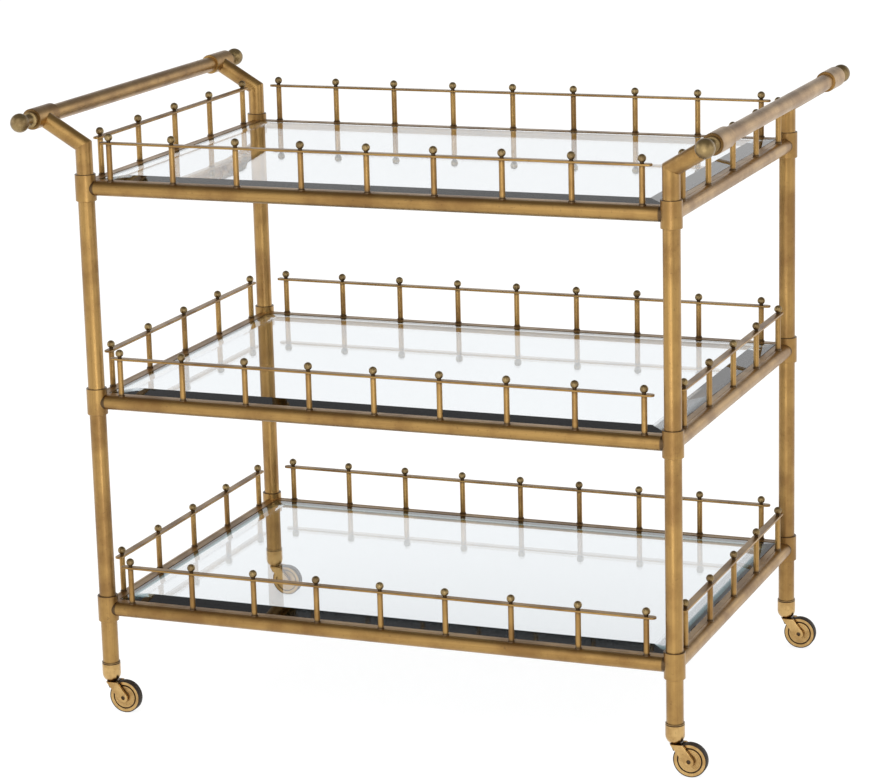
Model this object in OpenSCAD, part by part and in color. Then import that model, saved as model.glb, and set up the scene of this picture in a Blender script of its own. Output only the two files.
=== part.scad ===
// Dessert trolley: three beveled glass shelves in an aged brass tube frame,
// with a gallery rail round each shelf, a handle across each end and four castors.
// Millimetres. The origin is on the floor under the middle of the trolley,
// +X runs along it to the right, +Y to the back and +Z up.

/* [Posts] */
// Distance between the post axes along the trolley
post_gap_x = 900; // [700:10:1100]
// Distance between the post axes across the trolley
post_gap_y = 600; // [450:10:700]
// Outside diameter of the posts and the handle arms
post_d = 25; // [22:0.5:28]
// Wall of every tube
tube_wall = 1.5; // [1:0.25:2]

/* [Shelves] */
// Height of the bottom shelf's collars, at their middle
bottom_z = 165; // [150:5:250]
// Height from one shelf to the next
shelf_step = 324; // [250:2:380]
// Outside diameter of the collars
collar_d = 31; // [29:0.5:34]
// Height of the collars
collar_h = 40; // [34:1:50]
// Outside diameter of the shelf rails
rail_d = 22; // [20:0.5:24]
// How far the rail axes lie below the middle of the collars
rail_drop = 1; // [0:0.5:4]

/* [Glass and ledge] */
// Thickness of the glass
glass_t = 8; // [6:0.5:10]
// Width of the glass's bevel
bevel_w = 30; // [10:1:40]
// Depth of the glass's bevel at its edge
bevel_depth = 3; // [1:0.25:4]
// Gap between the glass and the ledge round it
glass_gap = 1; // [0.5:0.25:2]
// How far the glass stands above the ledge's top
glass_proud = 2.5; // [0:0.25:4]
// Height of the ledge's top above the rail axes
ledge_rise = 11; // [9:0.5:12]
// Width of the ledge's top, from its back to the glass side
ledge_t = 10; // [8:0.5:12]
// Thickness of the ledge's foot
foot_t = 2; // [1.5:0.25:3]
// Width of the whole ledge, from its back to the end of its foot
foot_w = 15; // [13:0.5:20]
// How far the ledge's back reaches over the rail that is let into it
ledge_bite = 8; // [6:0.5:9]

/* [Gallery] */
// Number of gallery gaps on a long side
bay_count_x = 8; // [4:1:10]
// Number of gallery gaps on a short side
bay_count_y = 4; // [2:1:6]
// Distance from a post axis to the first gallery post on a long side
end_gap_x = 41.5; // [36:0.5:60]
// Distance from a post axis to the first gallery post on a short side
end_gap_y = 52.5; // [36:0.5:60]
// Diameter of the gallery posts
baluster_d = 8.5; // [7:0.5:10]
// Diameter of the ring at a gallery post's foot
foot_ring_d = 10.5; // [10:0.5:12]
// Height of the ring at a gallery post's foot
foot_ring_h = 1.5; // [1:0.5:3]
// Height of the gallery strip's underside above the rail axes
strip_rise = 66; // [50:0.5:90]
// Width of the gallery strip
strip_w = 12; // [10:0.5:14]
// Thickness of the gallery strip
strip_t = 3; // [2:0.25:4]
// How far the strip runs past its last gallery post
strip_over = 15; // [8:0.5:18]
// Diameter of the gallery balls
ball_d = 12; // [10:0.5:14]
// Diameter of the neck under a gallery ball
ball_neck_d = 6; // [5:0.5:7]
// Height of the neck that shows under a gallery ball
ball_neck_h = 1; // [0.5:0.25:2]
// Diameter of the pin under a gallery ball
pin_d = 4; // [3:0.5:4.5]
// Depth of the pin in its gallery post
pin_depth = 10; // [6:1:20]

/* [Handles] */
// Height of the posts' mitred elbows above the top shelf
elbow_rise = 62; // [50:1:90]
// Rise of the arms above level, in degrees
arm_rise = 31; // [25:1:40]
// How far the handle axes lie out from the posts
handle_out = 67.5; // [55:0.5:90]
// Diameter of the handle grips
grip_d = 24; // [22:0.5:26]
// Outside diameter of the handle sockets
socket_d = 31; // [29:0.5:34]
// Length of the handle sockets
socket_len = 60; // [50:1:80]
// Length of the finial's plug inside the socket
plug_len = 6; // [4:1:12]
// Diameter of the finial's flange, against the socket
flange_d = 23; // [20:0.5:26]
// Thickness of the finial's flange
flange_t = 6; // [4:0.5:10]
// Diameter of the finial's neck
neck_d = 15; // [12:0.5:18]
// Length of the finial's neck, up to the middle of its ball
neck_len = 28.5; // [24:0.5:36]
// Diameter of the handle balls
finial_d = 28; // [24:0.5:32]

/* [Castors] */
// Diameter of the castor wheels over the tyre
wheel_d = 50; // [44:1:60]
// Width of the castor wheels
wheel_w = 12; // [10:1:18]
// Thickness of the tyre
tyre_t = 1.5; // [1:0.25:3]
// How far the wheel axle trails the swivel axis
trail = 23; // [20:0.5:28]
// Gap between the wheel and the cup's lower edge
cup_gap = 3.3; // [3:0.1:6]
// Outside diameter of the castor cups
cup_d = 28; // [27:0.5:31]
// Height of the castor cups
cup_h = 30; // [26:1:36]
// Diameter of the flat underneath the cup
cup_nose_d = 16; // [14:0.5:19]
// Width of the cup's rim band
rim_h = 1.8; // [1:0.1:3]
// Width of the groove under the rim band
groove_h = 1; // [0.5:0.1:2]
// Depth of the groove under the rim band
groove_depth = 0.8; // [0.4:0.1:1]
// Depth of the post in the cup
post_in_cup = 15; // [10:1:17]
// Width of the fork's cheeks
cheek_w = 15; // [12:0.5:17]
// Thickness of the fork's cheeks
cheek_t = 4; // [3:0.25:5]
// How far the cheeks' middle line passes from the swivel axis, at the cup's underside
crank_out = 4.5; // [2:0.5:7]
// Thickness of the fork's round flange, under the cup
flange_h = 2; // [1:0.25:2]
// Gap between a cheek and the wheel
cheek_gap = 2; // [1:0.25:3]
// Gap between the fork's bridge and the wheel
bridge_gap = 1.5; // [1:0.25:2]
// Diameter of the fork's stem
stem_d = 10; // [8:0.5:11]
// Height of the stem above the cup's underside
stem_h = 46; // [34:1:60]
// Height of the bush round the stem, above the post's end
bush_h = 42; // [30:1:60]
// Diameter of the axle
axle_d = 6; // [5:0.5:7]
// How far the axle's ends lie inside the cheeks' faces
axle_recess = 2; // [0.5:0.25:2.5]
// Diameter of the wheel's hub
hub_d = 13; // [11:0.5:15]
// Gap between the hub's end and a cheek
hub_gap = 0.4; // [0.3:0.05:0.5]
// Height of the hub's edge above the tyre's edge, where the disc meets it
hub_foot = 0.4; // [0.1:0.05:0.45]
// Diameter of the disc inside the groove in the wheel's face
disc_d = 34; // [30:0.5:36]
// Width of the groove in the wheel's face
groove_w = 1.8; // [1:0.1:2.4]
// Depth of the groove in the wheel's face
groove_sink = 2; // [1:0.25:3]
// Depth of the rim's face below the tyre's edge
rim_sink = 0.25; // [0:0.25:0.75]
// Depth of the disc's face at the groove, below the tyre's edge
face_sink = 0.5; // [0:0.25:1]

/* [Hidden] */
$fn = 64;

LEVELS = ["bottom", "middle", "top"];
ENDS = ["front_left", "front_right", "back_left", "back_right"];

BRASS = [0.66, 0.52, 0.31];
BRIGHT_BRASS = [0.75, 0.58, 0.33];
GLASS = [0.80, 0.90, 0.88, 0.5];
TYRE = [0.16, 0.13, 0.10];

// Clearance of a pin, stem or axle in its hole, on the radius
run_fit = 0.05;
// Clearance of a pin that is fixed in its hole, on the radius
pin_fit = 0.1;
// Gap between the turning fork and the fixed cup
swivel_gap = 0.5;
// Step in from the cheeks' round end to their straight edges
cheek_trim = 0.3;
// Seam between the mitred ends of two ledge bars
seam = 0.2;
// Length to cut with, longer than any piece
far = 3000;
// Overlap that keeps a cut from stopping on a face
past = 1;

post_x = post_gap_x / 2;
post_y = post_gap_y / 2;
function level_z(level) = bottom_z + level * shelf_step;
function rail_z(level) = level_z(level) - rail_drop;

elbow_z = level_z(len(LEVELS) - 1) + elbow_rise;
handle_x = post_x + handle_out;
handle_z = elbow_z + handle_out * tan(arm_rise);
mitre_tilt = (90 - arm_rise) / 2;
socket_in = post_y - socket_len / 2;
socket_end = post_y + socket_len / 2;

rail_face_x = post_x - rail_d / 2;
rail_face_y = post_y - rail_d / 2;
ledge_out_x = rail_face_x + ledge_bite;
ledge_out_y = rail_face_y + ledge_bite;
ledge_h = glass_t + foot_t - glass_proud;
glass_x = ledge_out_x - ledge_t - glass_gap;
glass_y = ledge_out_y - ledge_t - glass_gap;

wheel_r = wheel_d / 2;
rim_r = wheel_r - tyre_t;
well_r = wheel_r + bridge_gap;
cheek_in = wheel_w / 2 + cheek_gap;
cheek_out = cheek_in + cheek_t;
nose_r = cup_nose_d / 2;
cup_z = wheel_r + sqrt(pow(wheel_r + cup_gap, 2) - pow(trail - nose_r, 2));
cup_top = cup_z + cup_h;
cup_round_z = cup_z + sqrt(pow(cup_d / 2, 2) - pow(nose_r, 2));
post_bottom = cup_top - post_in_cup;
under_cup = cup_z - swivel_gap;

// ---- shared shapes ----

// A round bar of diameter d along X, between x0 and x1
module bar_x(d, x0, x1) {
    translate([x0, 0, 0]) rotate([0, 90, 0]) cylinder(d = d, h = x1 - x0);
}

// A round bar of diameter d along Y, between y0 and y1
module bar_y(d, y0, y1) {
    translate([0, y0, 0]) rotate([-90, 0, 0]) cylinder(d = d, h = y1 - y0);
}

// The four places of the posts, and the two ends of the trolley
module at_posts() {
    for (sx = [-1, 1], sy = [-1, 1]) translate([sx * post_x, sy * post_y, 0]) children();
}

module to_end(sx) {
    mirror([sx < 0 ? 1 : 0, 0, 0]) children();
}

module to_side(sy) {
    mirror([0, sy < 0 ? 1 : 0, 0]) children();
}

// Everything beyond the elbow's mitre plane, on the right-hand end
module beyond_mitre() {
    translate([post_x, post_y, elbow_z]) rotate([0, mitre_tilt, 0])
        translate([-far / 2, -far / 2, 0]) cube(far);
}

module before_mitre() {
    translate([post_x, post_y, elbow_z]) rotate([0, mitre_tilt, 0])
        translate([-far / 2, -far / 2, -far]) cube(far);
}

// ---- posts, arms and handles ----

module post(sx, sy) {
    color(BRASS) to_end(sx) to_side(sy) difference() {
        translate([post_x, post_y, post_bottom]) cylinder(d = post_d, h = elbow_z + post_d - post_bottom);
        translate([post_x, post_y, 0]) cylinder(d = post_d - 2 * tube_wall, h = elbow_z + 2 * post_d);
        beyond_mitre();
    }
}

module arm_bar(d, z0, z1) {
    translate([post_x, post_y, elbow_z]) rotate([0, 90 - arm_rise, 0])
        translate([0, 0, z0]) cylinder(d = d, h = z1 - z0);
}

module arm(sx, sy) {
    reach = handle_out / cos(arm_rise);
    color(BRASS) to_end(sx) to_side(sy) difference() {
        arm_bar(post_d, -post_d, reach);
        arm_bar(post_d - 2 * tube_wall, -post_d - past, reach + past);
        before_mitre();
        translate([handle_x, 0, handle_z]) bar_y(socket_d, 0, far);
    }
}

module sockets(sx) {
    color(BRASS) to_end(sx) for (sy = [-1, 1]) to_side(sy)
        translate([handle_x, 0, handle_z]) difference() {
            bar_y(socket_d, socket_in, socket_end);
            bar_y(grip_d, socket_in - past, socket_end + past);
        }
}

module grip(sx) {
    grip_end = socket_end - plug_len;
    color(BRASS) to_end(sx) translate([handle_x, 0, handle_z]) difference() {
        bar_y(grip_d, -grip_end, grip_end);
        bar_y(grip_d - 2 * tube_wall, -grip_end - past, grip_end + past);
    }
}

// A turned finial along +Z: a plug, a flange, a hollowed neck and a ball
module finial() {
    ball_z = plug_len + flange_t + neck_len;
    cove_d = flange_d - neck_d;
    cylinder(d = grip_d, h = plug_len);
    cylinder(d = flange_d, h = plug_len + flange_t);
    translate([0, 0, plug_len + flange_t]) rotate_extrude() difference() {
        square([flange_d / 2, cove_d / 2]);
        translate([flange_d / 2, cove_d / 2]) circle(d = cove_d);
    }
    cylinder(d = neck_d, h = ball_z);
    translate([0, 0, ball_z]) sphere(d = finial_d);
}

module finials(sx) {
    color(BRASS) to_end(sx) for (sy = [-1, 1]) to_side(sy)
        translate([handle_x, socket_end - plug_len, handle_z]) rotate([-90, 0, 0]) finial();
}

// ---- collars and rails ----

module collars(level) {
    color(BRASS) translate([0, 0, level_z(level) - collar_h / 2]) at_posts() difference() {
        cylinder(d = collar_d, h = collar_h);
        translate([0, 0, -past]) cylinder(d = post_d, h = collar_h + 2 * past);
    }
}

module collar_cut() {
    at_posts() cylinder(d = collar_d, h = far);
}

module long_rails(level) {
    color(BRASS) difference() {
        for (sy = [-1, 1]) translate([0, sy * post_y, rail_z(level)]) difference() {
            bar_x(rail_d, -post_x, post_x);
            bar_x(rail_d - 2 * tube_wall, -post_x - past, post_x + past);
        }
        collar_cut();
    }
}

module short_rails(level) {
    color(BRASS) difference() {
        for (sx = [-1, 1]) translate([sx * post_x, 0, rail_z(level)]) difference() {
            bar_y(rail_d, -post_y, post_y);
            bar_y(rail_d - 2 * tube_wall, -post_y - past, post_y + past);
        }
        collar_cut();
    }
}

// ---- ledge and glass ----

// One ledge bar along X, its back at y = 0 and its top at z = 0, mitred at both ends
// to stop half a seam short of x = -half and half
module ledge_bar(half) {
    difference() {
        union() {
            translate([-half, -ledge_t, -ledge_h]) cube([2 * half, ledge_t, ledge_h]);
            translate([-half, -foot_w, -ledge_h]) cube([2 * half, foot_w, foot_t]);
        }
        for (side = [0, 1]) mirror([side, 0, 0]) translate([half - seam, 0, -ledge_h - past])
            rotate([0, 0, -135]) translate([-far / 2, 0, 0]) cube([far, far, far]);
    }
}

// The ledge round one shelf, notched round the feet of the gallery posts
module ledge(level) {
    z = rail_z(level);
    color(BRASS) difference() {
        translate([0, 0, z + ledge_rise]) {
            for (sy = [-1, 1]) to_side(sy) translate([0, ledge_out_y, 0]) ledge_bar(ledge_out_x);
            for (sx = [-1, 1]) to_end(sx) translate([ledge_out_x, 0, 0]) rotate([0, 0, -90])
                ledge_bar(ledge_out_y);
        }
        for (sy = [-1, 1]) translate([0, sy * post_y, z]) bar_x(rail_d, -post_x, post_x);
        for (sx = [-1, 1]) translate([sx * post_x, 0, z]) bar_y(rail_d, -post_y, post_y);
        translate([0, 0, z]) at_balusters() cylinder(d = foot_ring_d + 2 * pin_fit, h = rail_d);
        collar_cut();
    }
}

// The wedge that the bevel takes off the glass along X, its edge at y = 0, its top at z = 0
module bevel_cut() {
    slope = atan2(bevel_depth, bevel_w);
    translate([0, 0, -bevel_depth]) rotate([-slope, 0, 0])
        translate([-far / 2, -bevel_w * 2, 0]) cube([far, bevel_w * 3, bevel_w]);
}

module glass(level) {
    color(GLASS) translate([0, 0, rail_z(level) + ledge_rise + glass_proud]) difference() {
        translate([-glass_x, -glass_y, -glass_t]) cube([2 * glass_x, 2 * glass_y, glass_t]);
        for (sy = [-1, 1]) to_side(sy) translate([0, glass_y, 0]) bevel_cut();
        for (sx = [-1, 1]) to_end(sx) translate([glass_x, 0, 0]) rotate([0, 0, -90]) bevel_cut();
    }
}

// ---- gallery ----

long_run = post_gap_x - 2 * end_gap_x;
short_run = post_gap_y - 2 * end_gap_y;
BALUSTERS_X = [for (i = [0 : bay_count_x]) -long_run / 2 + i * long_run / bay_count_x];
BALUSTERS_Y = [for (i = [0 : bay_count_y]) -short_run / 2 + i * short_run / bay_count_y];

// Places the same thing at each gallery post, with X along the rail under it
module at_balusters() {
    for (sy = [-1, 1], x = BALUSTERS_X) translate([x, sy * post_y, 0]) children();
    for (sx = [-1, 1], y = BALUSTERS_Y) translate([sx * post_x, y, 0]) rotate([0, 0, 90]) children();
}

// A gallery post, its foot coped over the rail whose axis is at z = 0
module baluster() {
    difference() {
        union() {
            cylinder(d = baluster_d, h = strip_rise);
            cylinder(d = foot_ring_d, h = rail_d / 2 + foot_ring_h);
        }
        bar_x(rail_d, -rail_d, rail_d);
        translate([0, 0, strip_rise - pin_depth]) cylinder(d = pin_d + 2 * pin_fit, h = pin_depth + past);
    }
}

module balusters(level) {
    color(BRASS) translate([0, 0, rail_z(level)]) at_balusters() baluster();
}

// A flat strip along X with round ends, drilled for the pins of the balls
module gallery_strip(run, places) {
    half = run / 2 + strip_over - strip_w / 2;
    linear_extrude(strip_t) difference() {
        union() {
            square([2 * half, strip_w], center = true);
            for (x = [-half, half]) translate([x, 0]) circle(d = strip_w);
        }
        for (x = places) translate([x, 0]) circle(d = pin_d + 2 * pin_fit);
    }
}

module gallery_strips(level) {
    color(BRASS) translate([0, 0, rail_z(level) + strip_rise]) {
        for (sy = [-1, 1]) translate([0, sy * post_y, 0]) gallery_strip(long_run, BALUSTERS_X);
        for (sx = [-1, 1]) translate([sx * post_x, 0, 0]) rotate([0, 0, 90])
            gallery_strip(short_run, BALUSTERS_Y);
    }
}

// A gallery ball standing on z = 0, with its pin below
module gallery_ball() {
    pin_len = strip_t + pin_depth - past;
    translate([0, 0, ball_neck_h + ball_d / 2]) sphere(d = ball_d);
    cylinder(d = ball_neck_d, h = ball_neck_h + ball_d / 2);
    translate([0, 0, -pin_len]) cylinder(d = pin_d, h = pin_len + ball_neck_h);
}

module gallery_balls(level) {
    color(BRASS) translate([0, 0, rail_z(level) + strip_rise + strip_t]) at_balusters() gallery_ball();
}

// ---- castors ----

module castor_cups() {
    color(BRIGHT_BRASS) at_posts() difference() {
        union() {
            intersection() {
                translate([0, 0, cup_round_z]) sphere(d = cup_d);
                translate([0, 0, cup_z]) cylinder(d = cup_d, h = cup_round_z - cup_z);
            }
            translate([0, 0, cup_round_z]) cylinder(d = cup_d, h = cup_top - cup_round_z);
        }
        translate([0, 0, cup_top - rim_h - groove_h]) difference() {
            cylinder(d = cup_d + 2 * past, h = groove_h);
            translate([0, 0, -past]) cylinder(d = cup_d - 2 * groove_depth, h = groove_h + 2 * past);
        }
        translate([0, 0, post_bottom]) cylinder(d = post_d, h = post_in_cup + past);
        translate([0, 0, cup_z - past]) cylinder(d = stem_d + 2 * swivel_gap, h = cup_h);
    }
}

module stem_bushes() {
    color(BRIGHT_BRASS) translate([0, 0, post_bottom]) at_posts() difference() {
        cylinder(d = post_d - 2 * tube_wall, h = bush_h);
        translate([0, 0, -past]) cylinder(d = stem_d + 2 * run_fit, h = bush_h + 2 * past);
    }
}

module at_end(sx, sy) {
    translate([sx * post_x, sy * post_y, 0]) children();
}

// The cheeks' outline in X and Z, from flat under the cup down to the round end at the axle
module cheek_outline() {
    axle_at = [trail, wheel_r];
    run = [crank_out, cup_z] - axle_at;
    bar_w = cheek_w - 2 * cheek_trim;
    intersection() {
        translate(axle_at) {
            circle(d = cheek_w);
            rotate(atan2(run.y, run.x)) translate([0, -bar_w / 2]) square([2 * norm(run), bar_w]);
        }
        translate([-far / 2, 0]) square([far, under_cup]);
    }
}

module fork_cheek() {
    rotate([90, 0, 0]) linear_extrude(cheek_t, center = true) difference() {
        cheek_outline();
        translate([trail, wheel_r]) circle(d = axle_d);
    }
}

module fork_bridge() {
    rotate([90, 0, 0]) linear_extrude(2 * cheek_in + cheek_t, center = true) difference() {
        cheek_outline();
        translate([trail, wheel_r]) circle(r = well_r);
    }
}

module fork(sx, sy) {
    color(BRIGHT_BRASS) at_end(sx, sy) {
        for (side = [-1, 1]) translate([0, side * (cheek_in + cheek_t / 2), 0]) fork_cheek();
        fork_bridge();
        translate([0, 0, under_cup - flange_h]) cylinder(r = nose_r, h = flange_h);
        translate([0, 0, under_cup - flange_h]) cylinder(d = stem_d, h = flange_h + swivel_gap + stem_h);
    }
}

module axle(sx, sy) {
    half = cheek_out - axle_recess;
    color(BRIGHT_BRASS) at_end(sx, sy) translate([trail, 0, wheel_r]) bar_y(axle_d, -half, half);
}

// The wheel's section: radius along X, width along Y, with a hub, a grooved face and a rim
module wheel_section() {
    face = wheel_w / 2;
    groove_in = disc_d / 2;
    groove_out = groove_in + groove_w;
    half = [
        [axle_d / 2 + run_fit, face + cheek_gap - hub_gap],
        [hub_d / 2, face + cheek_gap - hub_gap],
        [hub_d / 2, face + hub_foot],
        [groove_in, face - face_sink],
        [groove_in, face - groove_sink],
        [groove_out, face - groove_sink],
        [groove_out, face - rim_sink],
        [rim_r, face - rim_sink],
    ];
    polygon([
        for (point = half) point,
        for (i = [len(half) - 1 : -1 : 0]) [half[i].x, -half[i].y],
    ]);
}

module wheel(sx, sy) {
    color(BRIGHT_BRASS) at_end(sx, sy) translate([trail, 0, wheel_r]) rotate([90, 0, 0])
        rotate_extrude() wheel_section();
}

module tyre(sx, sy) {
    color(TYRE) at_end(sx, sy) translate([trail, 0, wheel_r]) rotate([90, 0, 0]) rotate_extrude()
        difference() {
            translate([0, -wheel_w / 2]) square([wheel_r, wheel_w]);
            translate([0, -wheel_w]) square([rim_r, 2 * wheel_w]);
        }
}

// ---- the nodes ----

function end_x(i) = i % 2 == 0 ? -1 : 1;
function end_y(i) = i < 2 ? -1 : 1;

for (i = [0 : 3]) {
    post(end_x(i), end_y(i));
    arm(end_x(i), end_y(i));
    fork(end_x(i), end_y(i));
    axle(end_x(i), end_y(i));
    wheel(end_x(i), end_y(i));
    tyre(end_x(i), end_y(i));
}
for (l = [0 : 2]) {
    collars(l);
    long_rails(l);
    short_rails(l);
    ledge(l);
    glass(l);
    balusters(l);
    gallery_strips(l);
    gallery_balls(l);
}
grip(-1);  // grip_left
grip(1);  // grip_right
sockets(-1);  // sockets_left
sockets(1);  // sockets_right
finials(-1);  // finials_left
finials(1);  // finials_right
castor_cups();
stem_bushes();
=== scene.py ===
# %% [markdown]
# # A dessert trolley in aged brass and beveled glass
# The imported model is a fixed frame: its nodes say where every piece is and how it moves.
# This lesson puts finely made pieces over those nodes, gives them brass, glass and rubber
# finishes, and lights them in a plain studio.

# %% The fixed frame
import math

import bmesh
import bpy
from mathutils import Matrix, Vector


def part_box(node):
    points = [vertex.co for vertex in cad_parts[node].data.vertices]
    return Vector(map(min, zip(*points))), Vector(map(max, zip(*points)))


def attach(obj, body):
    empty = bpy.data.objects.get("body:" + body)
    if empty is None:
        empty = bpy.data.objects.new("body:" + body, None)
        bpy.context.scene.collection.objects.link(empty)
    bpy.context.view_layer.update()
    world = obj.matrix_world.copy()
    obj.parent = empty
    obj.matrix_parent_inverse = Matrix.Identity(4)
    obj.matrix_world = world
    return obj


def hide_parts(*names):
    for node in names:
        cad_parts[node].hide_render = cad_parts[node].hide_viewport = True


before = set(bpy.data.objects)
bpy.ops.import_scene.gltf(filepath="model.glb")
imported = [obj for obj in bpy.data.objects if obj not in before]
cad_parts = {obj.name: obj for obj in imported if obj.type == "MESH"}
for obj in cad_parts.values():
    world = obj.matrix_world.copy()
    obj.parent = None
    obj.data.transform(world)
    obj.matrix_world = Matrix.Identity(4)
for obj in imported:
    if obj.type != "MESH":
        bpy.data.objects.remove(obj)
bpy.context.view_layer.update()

# %% [markdown]
# ## Camera
# The photograph was taken from the front right, a little above the trolley, with a long
# lens. The camera stands where the picture's straight lines say it stood. It could be aimed
# with a constraint, but a plain rotation keeps the small tilt of the original.

# %% Camera
CAMERA_AT = (1.6701, -4.2048, 1.5748)
CAMERA_TURN = math.radians(21.866)
CAMERA_DIP = math.radians(13.827)
CAMERA_ROLL = math.radians(-1.488)
LENS = 124.21
SENSOR = 36

camera = bpy.data.objects.new("camera", bpy.data.cameras.new("camera"))
camera.data.lens = LENS
camera.data.sensor_width = SENSOR
upright = math.pi / 2 - CAMERA_DIP
turned = Matrix.Rotation(CAMERA_TURN, 4, "Z") @ Matrix.Rotation(upright, 4, "X")
camera.matrix_world = Matrix.Translation(CAMERA_AT) @ turned @ Matrix.Rotation(CAMERA_ROLL, 4, "Z")
bpy.context.scene.collection.objects.link(camera)
bpy.context.scene.camera = camera
print("camera at", CAMERA_AT, "lens", LENS)

# %% [markdown]
# ## Sizes
# Sizes come from the frame's own boxes where they show them. Those that a box can't show,
# such as a bevel or a groove, are named in millimetres where they are used.

# %% Sizes read from the frame
MM = 0.001
LEVELS = ("bottom", "middle", "top")
ENDS = {"front_left": (-1, -1), "front_right": (1, -1), "back_left": (-1, 1), "back_right": (1, 1)}


def low(node):
    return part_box(node)[0]


def high(node):
    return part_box(node)[1]


post_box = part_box("post_front_right")
post_r = (post_box[1].y - post_box[0].y) / 2
post_x = (post_box[0].x + post_box[1].x) / 2
post_y = -(post_box[0].y + post_box[1].y) / 2
collar_r = high("collars_top").x - post_x
rail_r = (high("long_rails_top").z - low("long_rails_top").z) / 2
rail_z = {level: high("long_rails_" + level).z - rail_r for level in LEVELS}
handle_x = (low("grip_right").x + high("grip_right").x) / 2
handle_z = (low("grip_right").z + high("grip_right").z) / 2
print("posts", round(post_x, 4), round(post_y, 4), "handle", round(handle_x, 4), round(handle_z, 4))

# %% [markdown]
# ## Turned shapes
# Nearly all of this trolley is round: tubes, collars, balls, cups and wheels. One small
# function turns a profile of (radius, distance along the axis) about any axis, as a lathe
# does. A profile that starts and ends on the axis gives a closed solid, and a looped one
# gives a ring with a bore. Screw modifiers could do the same, but they leave doubled seams.
# A third number darkens the brass in grooves and round joints: patina and painted shade.

# %% A lathe
STEPS = 48
ON_AXIS = 1e-7


def turn(bm, profile, at, axis=(0, 0, 1), steps=STEPS, looped=False):
    """Turns a profile of (radius, along, darkening if any) into bm, about an axis through `at`; the
    darkening is patina and painted shade.
    """
    patina_and_painted_shade = bm.verts.layers.float.get("patina_and_painted_shade") or bm.verts.layers.float.new("patina_and_painted_shade")
    place = Matrix.Translation(at) @ Vector(axis).to_track_quat("Z", "Y").to_matrix().to_4x4()
    rings = []
    for radius, along, *darkening in profile:
        if radius < ON_AXIS:
            rings.append([bm.verts.new(place @ Vector((0, 0, along)))] * steps)
        else:
            angles = [2 * math.pi * i / steps for i in range(steps)]
            points = [Vector((radius * math.cos(a), radius * math.sin(a), along)) for a in angles]
            rings.append([bm.verts.new(place @ p) for p in points])
        for vertex in rings[-1]:
            vertex[patina_and_painted_shade] = darkening[0] if darkening else 0.0
    pairs = list(zip(rings, rings[1:]))
    if looped:
        pairs.append((rings[-1], rings[0]))
    for lower, upper in pairs:
        for i in range(steps):
            corners = (lower[i], lower[i - 1], upper[i - 1], upper[i])
            distinct = list(dict.fromkeys(corners))
            if len(distinct) > 2:
                bm.faces.new(distinct)


# %% From a bmesh to a piece that rides on its body
SHARP = math.radians(32)
DOUBLES = 1e-6
PAINTED_SHADE_BAND = 2.5


def to_object(name, bm):
    """A smooth-shaded object at the origin, its normals outwards and its doubles merged."""
    bmesh.ops.remove_doubles(bm, verts=bm.verts, dist=DOUBLES)
    bmesh.ops.recalc_face_normals(bm, faces=bm.faces)
    mesh = bpy.data.meshes.new(name)
    bm.to_mesh(mesh)
    bm.free()
    mesh.shade_smooth()
    mesh.set_sharp_from_angle(angle=SHARP)
    piece = bpy.data.objects.new(name, mesh)
    bpy.context.scene.collection.objects.link(piece)
    return piece


def settle(piece, material, body, nodes):
    """Gives the piece its finish, lets it stand for its CAD nodes and ride on their body."""
    piece.data.materials.clear()
    piece.data.materials.append(material)
    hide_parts(*nodes)
    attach(piece, body)
    return piece


def chamfered(radius, start, end, cut):
    """The profile of a solid bar with both ends chamfered."""
    return [(0, start), (radius - cut, start), (radius, start + cut),
            (radius, end - cut), (radius - cut, end), (0, end)]


def sleeve(outer, inner, start, end, cut, patina_and_painted_shade):
    """The profile of a bored ring with chamfered corners, to be looped; its upper rim is darkened
    with patina and painted shade.
    """
    return [(inner, start), (outer - cut, start), (outer, start + cut),
            (outer, end - PAINTED_SHADE_BAND * cut), (outer, end - cut, patina_and_painted_shade), (outer - cut, end, patina_and_painted_shade),
            (inner, end, patina_and_painted_shade)]


# %% [markdown]
# ## Aged brass
# The brass is satin, with brown clouds where the patina is thicker, small dark specks, and
# a faint grain along each tube from polishing. A texture painted by hand would need an
# image, so layered noise on Object coordinates does it. One node group holds the patina and
# the darkening of grooves and joints, which is partly patina and partly painted shade, and
# each material keeps its own shader and its own values.

# %% Helpers for node trees


def add_node(tree, kind, values=None, **settings):
    node = tree.nodes.new(kind)
    for key, value in settings.items():
        setattr(node, key, value)
    for socket, value in (values or {}).items():
        node.inputs[socket].default_value = value
    return node


def feed(tree, socket, value):
    """Links an output socket to an input, or writes a plain value there."""
    if isinstance(value, bpy.types.NodeSocket):
        tree.links.new(value, socket)
    else:
        socket.default_value = value


def number_node(tree, operation, *values):
    """The result of a Math node; each value is an output socket or a plain number."""
    node = add_node(tree, "ShaderNodeMath", operation=operation)
    for socket, value in zip(node.inputs, values):
        feed(tree, socket, value)
    return node.outputs[0]


# Where a Mix node of colours keeps its share, its two colours and its result
MIX_INPUTS = (0, 6, 7)
MIX_RESULT = 2


def blend_colours(tree, share, first, second):
    """A colour mix; share, first and second are output sockets or plain values."""
    node = add_node(tree, "ShaderNodeMix", data_type="RGBA")
    for index, value in zip(MIX_INPUTS, (share, first, second)):
        feed(tree, node.inputs[index], value)
    return node.outputs[MIX_RESULT]


def spread(tree, value, start, end, low_value=0.0, high_value=1.0):
    """Maps a range of values to another, clamped, with smooth ends."""
    node = add_node(tree, "ShaderNodeMapRange", interpolation_type="SMOOTHSTEP")
    tree.links.new(value, node.inputs["Value"])
    for socket, number in (("From Min", start), ("From Max", end),
                           ("To Min", low_value), ("To Max", high_value)):
        node.inputs[socket].default_value = number
    return node.outputs["Result"]


def add_sockets(tree, in_out, kinds):
    """Gives a node group its inputs or outputs, as pairs of a name and a kind of socket."""
    for label, kind in kinds:
        tree.interface.new_socket(name=label, in_out=in_out, socket_type="NodeSocket" + kind)


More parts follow.
